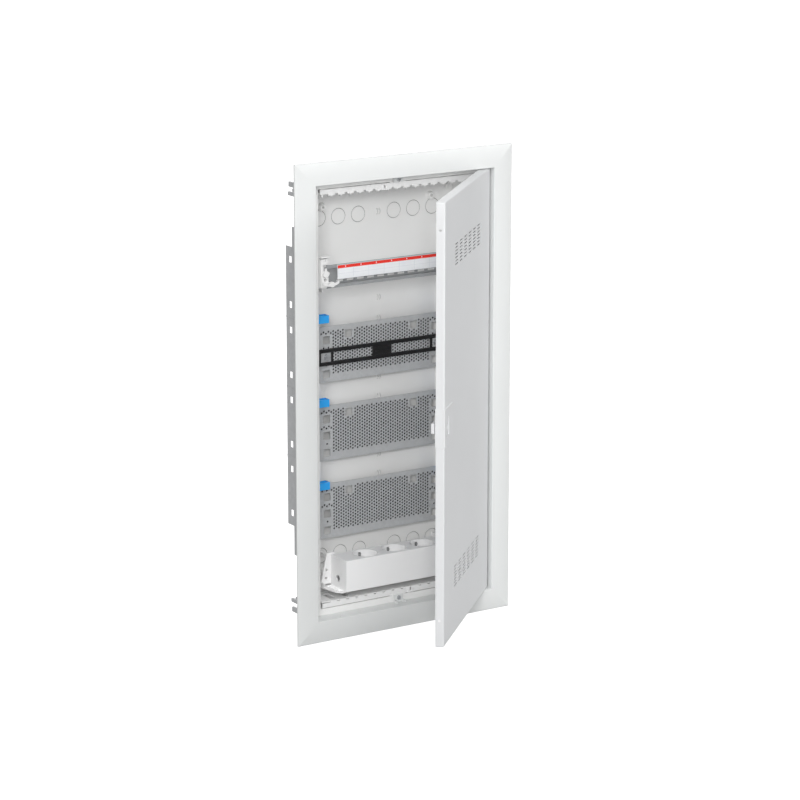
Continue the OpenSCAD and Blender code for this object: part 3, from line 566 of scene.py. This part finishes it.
# A light plug in the lower flange hole
PLUG_R, PLUG_END_R, PLUG_LENGTH = 1.75, 1.5, 2.2
plug_place = (-door_w, -FLANGE_HOLE_Z, rise - FLANGE_HOLE_D)
plug = joined("flange_plug", [cylinder(plug_place, "X", PLUG_R, PLUG_LENGTH, 24, PLUG_END_R)])
add_piece("flange_plug", plug, ON_DOOR, "door", "strip_plastic")

# ------------------------------------------------------------------ socket strip

WALL, STRIP_FOLD, STRIP_CORNER = 2.2, 1.0, 1.1
CUP_GAP = 0.04
strip_x, strip_d, strip_z = extents("strip_housing")
strip_half = strip_x[1]
strip_depth = (strip_d[1] - strip_d[0]) / 2
strip_mid = (strip_d[1] + strip_d[0]) / 2
strip_h = strip_z[1] - strip_z[0]
SOCKETS = [sum(extents("socket_" + side)[0]) / 2 for side in ("left", "middle", "right")]
cup_x = extents("socket_middle")[0]
cup_r = (cup_x[1] - cup_x[0]) / 2
ENTRY_R, ENTRY_D, ENTRY_Z = 5.0, 32.3, -282.7
shell = swept_ring(strip_half, strip_depth, folded_profile(WALL, strip_h, STRIP_FOLD), STRIP_CORNER)
entry = cylinder((-strip_half, ENTRY_D - strip_mid, ENTRY_Z - strip_z[0]), "X", ENTRY_R, 9, 40)
shell = cut(shell, [entry])
cup_holes = [circle(x, 0, cup_r + CUP_GAP, 64) for x in SOCKETS]
lid = sheet([loop_of(strip_half - WALL, strip_depth - WALL)] + cup_holes, strip_h - WALL, strip_h)
cover = joined("strip_cover", [shell, lid])
cover.transform(Matrix.Translation((0, strip_mid, strip_z[0])))
add_piece("strip_cover", cover, STANDING, "cabinet", "strip_plastic", ["strip_housing"])

# ------------------------------------------------------------------ perforated plates

PLATE_HALF, PLATE_H = 113.0, 86.0
EARS = (-26, 12)
EAR_REACH, EAR_HALF = 125.0, 4.5
EAR_HOLE_X, EAR_HOLE_R = 120, 1.7
NOTCHES = (-35.5, -10.5, 1.5, 27, 37)
NOTCH_X, NOTCH_R = PLATE_HALF + 1.2, 3.6
WINDOWS = [(97.9, 22), (97.9, -4.3), (97.9, -30.7), (58.5, 28.4)]
WINDOW, WINDOW_ROUND = 12.0, 0.5
WINDOW_MARGIN = 2.4
SCREW_HOLE, SCREW_HOLE_R = (97.3, -17), 1.6
# The perforation: a wide middle field, and short rows beyond it out to FIELD_END
FIELD_HALF, FIELD_Z = 88, (-31.5, 35)
FIELD_END, END_ROWS = 107, ((31, 35), (6, 12))
HOLE_PITCH = (4.27, 4.93)
HOLE_R = 1.72
HOLE_STEPS, HOLE_START = 12, 0.26
# Gap, thickness and height of the near-black sheet of painted shade behind the perforation
PERFORATION_SHADE_GAP, PERFORATION_SHADE_T, PERFORATION_SHADE_H = 0.1, 0.4, 78


def plate_edge():
    """The plate's outline, anticlockwise: ears and half-round notches on both sides."""
    bite = math.degrees(math.acos((NOTCH_X - PLATE_HALF) / NOTCH_R))
    side = []
    for z, kind in sorted([(z, "notch") for z in NOTCHES] + [(z, "ear") for z in EARS]):
        if kind == "ear":
            side += [(PLATE_HALF, z - EAR_HALF), (EAR_REACH, z - EAR_HALF),
                     (EAR_REACH, z + EAR_HALF), (PLATE_HALF, z + EAR_HALF)]
        else:
            side += arc(NOTCH_X, z, NOTCH_R, 180 + bite, 180 - bite)
    half = PLATE_H / 2
    right_side = [(PLATE_HALF, -half)] + side + [(PLATE_HALF, half)]
    return right_side + [(-x, z) for x, z in reversed(right_side)]


def in_field(x, z):
    """Whether the perforation reaches a point."""
    a = abs(x)
    margin = WINDOW / 2 + WINDOW_MARGIN
    if any(abs(a - wx) < margin and abs(z - wz) < margin for wx, wz in WINDOWS):
        return False
    if a < FIELD_HALF:
        return FIELD_Z[0] < z < FIELD_Z[1]
    return a < FIELD_END and any(low < z < high for low, high in END_ROWS)


def plate_loops():
    """The plate's outline, windows, screw holes and perforation."""
    loops = [plate_edge()]
    for s in (-1, 1):
        loops += [rectangle(s * x, z, WINDOW, WINDOW, WINDOW_ROUND) for x, z in WINDOWS]
        loops.append(circle(s * SCREW_HOLE[0], SCREW_HOLE[1], SCREW_HOLE_R))
        loops += [circle(s * EAR_HOLE_X, z, EAR_HOLE_R) for z in EARS]
    columns = int(PLATE_HALF / HOLE_PITCH[0])
    rows = int(PLATE_H / 2 / HOLE_PITCH[1]) + 1
    for i in range(-columns, columns + 1):
        for j in range(-rows, rows):
            x, z = i * HOLE_PITCH[0], (j + (0.5 if i % 2 else 0)) * HOLE_PITCH[1]
            if in_field(x, z):
                loops.append(circle(x, z, HOLE_R, HOLE_STEPS, HOLE_START))
    return loops


plate_d = extents("plate_upper")[1]
plate = joined("perforated_plate", [sheet(plate_loops(), -plate_d[1], -plate_d[0])])
# Painted shade: a near-black sheet close behind the perforation, open behind the windows, which darkens the
# holes where shade falls
behind = -plate_d[1] - PERFORATION_SHADE_GAP
perforation_shade_loops = [rectangle(0, 0, 2 * FIELD_END, PERFORATION_SHADE_H)]
perforation_shade_loops += [rectangle(s * x, z, WINDOW + 1, WINDOW + 1) for x, z in WINDOWS for s in (-1, 1)]
perforation_shade = joined("perforation_shade", [sheet(perforation_shade_loops, behind - PERFORATION_SHADE_T, behind)])
for level in ("upper", "middle", "lower"):
    node = "plate_" + level
    up = Matrix.Translation((0, sum(extents(node)[2]) / 2, 0))
    add_piece("perforated_" + node, plate.copy(), FACING @ up, "cabinet", "plate_steel", [node])
    # Each plate gets its near-black sheet of painted shade behind the perforation
    add_piece("backing_" + level, perforation_shade.copy(), FACING @ up, "cabinet", "plate_steel", (), PERFORATION_SHADE_GREY)

# ------------------------------------------------------------------ device strap

STRAP_BAR, STRAP_ROUND, STRAP_CORNER = 5.5, 0.7, 1.2
# Near and far ends of the strap's openings, the same on both sides
BAYS = ((16.5, 88), (91, 109.5))
RIDGE_HALF, RIDGE_PITCH, RIDGE_R = 14, 6, 0.6
strap_x, strap_d, strap_z = extents("device_strap")
strap_mid = sum(strap_z) / 2
opening = strap_z[1] - strap_z[0] - 2 * STRAP_BAR
strap_loops = [loop_of(strap_x[1], (strap_z[1] - strap_z[0]) / 2, STRAP_CORNER)]
for s in (-1, 1):
    for near, far in BAYS:
        strap_loops.append(rectangle(s * (near + far) / 2, 0, far - near, opening, 1.0))
strap_parts = [sheet(strap_loops, -strap_d[1], -strap_d[0] - 0.5, STRAP_ROUND)]
ridge_level = -strap_d[0] - 0.65
for i in (-1, 0, 1):
    ends = [(x, RIDGE_PITCH * i, ridge_level) for x in (-RIDGE_HALF, RIDGE_HALF)]
    strap_parts.append(wire(ends, RIDGE_R))
strap = joined("strap_body", strap_parts)
strap.transform(Matrix.Translation((0, strap_mid, 0)))
add_piece("strap_body", strap, FACING, "cabinet", "strap_black", ["device_strap"])

# ------------------------------------------------------------------ marks and small details

# Moulded double arcs on the rear wall: height and half angle in degrees
MARKS = [(z, 52) for z in (135.5, 103.0, 11.8, -19.2, -110.9, -141.5)] + [(268, 60)]
MARK_X = (-2.2, 1.8)
MARK_R, MARK_WIRE = 5.2, 1.2
REAR_WALL = -80.3
marks = []
for z, reach in MARKS:
    for x in MARK_X:
        points = [(px, pz, REAR_WALL) for px, pz in arc(x, z, MARK_R, -reach, reach)]
        marks.append(wire(points, MARK_WIRE))
# The arcs are the wall's own plastic, drawn darker than the wall as painted shade of the ridges
add_piece("wall_marks", joined("wall_marks", marks, 60), FACING, "cabinet", "box_plastic", (), MARK_SHADE_GREY)

# Painted shade: dark rings in the grooves of the knockouts, where shade falls
KNOCKOUT_X, KNOCKOUT_Z, KNOCKOUT_R = (31.9, 66.9, 101.6), (266.9, -258.5), 12.5
LINE_OUT, LINE_IN = 0.03, 0.97
rings = [sheet([circle(s * x, z, KNOCKOUT_R - inset, 64) for inset in (LINE_OUT, LINE_IN)],
               REAR_WALL - 1.1, REAR_WALL - 0.7)
         for x in KNOCKOUT_X for z in KNOCKOUT_Z for s in (-1, 1)]
add_piece("knockout_groove_shade", joined("knockout_groove_shade", rings), FACING, "cabinet", "box_plastic", (),
          SHADOW_GREY)

# Printed rules on the label, one upright for each mark of the band and one along its middle
RULE_PITCH, RULE_COUNT = 27.0, 7
UPRIGHT_HALF, ALONG_HALF = 0.16, 0.14
RULE_DEPTH = 0.5
label_x, label_d, label_z = extents("label_holder")
band_z = extents("label_band")[2]
rule_front = -label_d[0] + 0.04
rules = [block((x - UPRIGHT_HALF, x + UPRIGHT_HALF), (label_z[0] + 1, band_z[0] - 0.6),
               (rule_front - RULE_DEPTH, rule_front))
         for x in [label_x[0] + RULE_PITCH * i for i in range(1, RULE_COUNT + 1)]]
middle_z = (label_z[0] + band_z[0]) / 2
rules.append(block((label_x[0] + 1, label_x[1] - 1), (middle_z - ALONG_HALF, middle_z + ALONG_HALF),
                   (rule_front - RULE_DEPTH, rule_front - 0.01)))
add_piece("label_rules", joined("label_rules", rules), FACING, "cabinet", "label_plastic", (), LINE_GREY)

# The holder's clear upper edge
EDGE_H, EDGE_PROUD = 0.7, 0.2
edge = block(label_x, (label_z[1], label_z[1] + EDGE_H), (-label_d[1], -label_d[0] + EDGE_PROUD))
add_piece("label_clear_edge", joined("label_clear_edge", [edge]), FACING, "cabinet", "label_plastic", (),
          CLEAR_EDGE)

# ------------------------------------------------------------------ stage and light

WORLD_STRENGTH = 0.42
world = bpy.data.worlds.new("studio")
bpy.context.scene.world = world
world.use_nodes = True
background = world.node_tree.nodes["Background"]
background.inputs["Color"].default_value = (1, 1, 1, 1)
background.inputs["Strength"].default_value = WORLD_STRENGTH

FLOOR_HALF = 40
floor_z = cad_bounds[0][2] - MM
floor_mesh = bpy.data.meshes.new("floor")
corners = [(x, y, floor_z) for x, y in loop_of(FLOOR_HALF, FLOOR_HALF)]
floor_mesh.from_pydata(corners, [], [(0, 1, 2, 3)])
floor = placed("floor", floor_mesh)
pale = Nodes("pale_floor")
pale.link(pale.mix(pale.ramp(pale.noise(2, 2), 0, 1), (0.50, 0.50, 0.50), (0.52, 0.52, 0.52)),
          pale.shader.inputs["Base Color"])
pale.shader.inputs["Roughness"].default_value = 0.9
pale.shader.inputs["Specular IOR Level"].default_value = 0.1
pale.shader.inputs["Emission Color"].default_value = (1, 1, 1, 1)
# The floor glows for camera rays only, so that it looks white without lighting the object from below
pale.link(pale.ramp(pale.add("ShaderNodeLightPath").outputs["Is Camera Ray"], 0, 1.0, 0, 1),
          pale.shader.inputs["Emission Strength"])
floor_mesh.materials.append(pale.material)


def area_light(name, place, size, power):
    """A square light that faces the origin."""
    data = bpy.data.lights.new(name, "AREA")
    data.shape = "SQUARE"
    data.size = size
    data.energy = power
    aim = Vector(place).to_track_quat("Z", "Y").to_matrix().to_4x4()
    placed(name, data).matrix_world = Matrix.Translation(place) @ aim


area_light("key", (-2.6, -3.6, 1.5), 1.4, 91)
area_light("fill", (2.6, -3.6, 1.5), 1.4, 37)
area_light("top", (-0.3, -2.7, 3.0), 2.0, 36)
area_light("back", (1.6, 3.2, 1.6), 2.4, 24)
bpy.context.scene.view_settings.view_transform = "Standard"
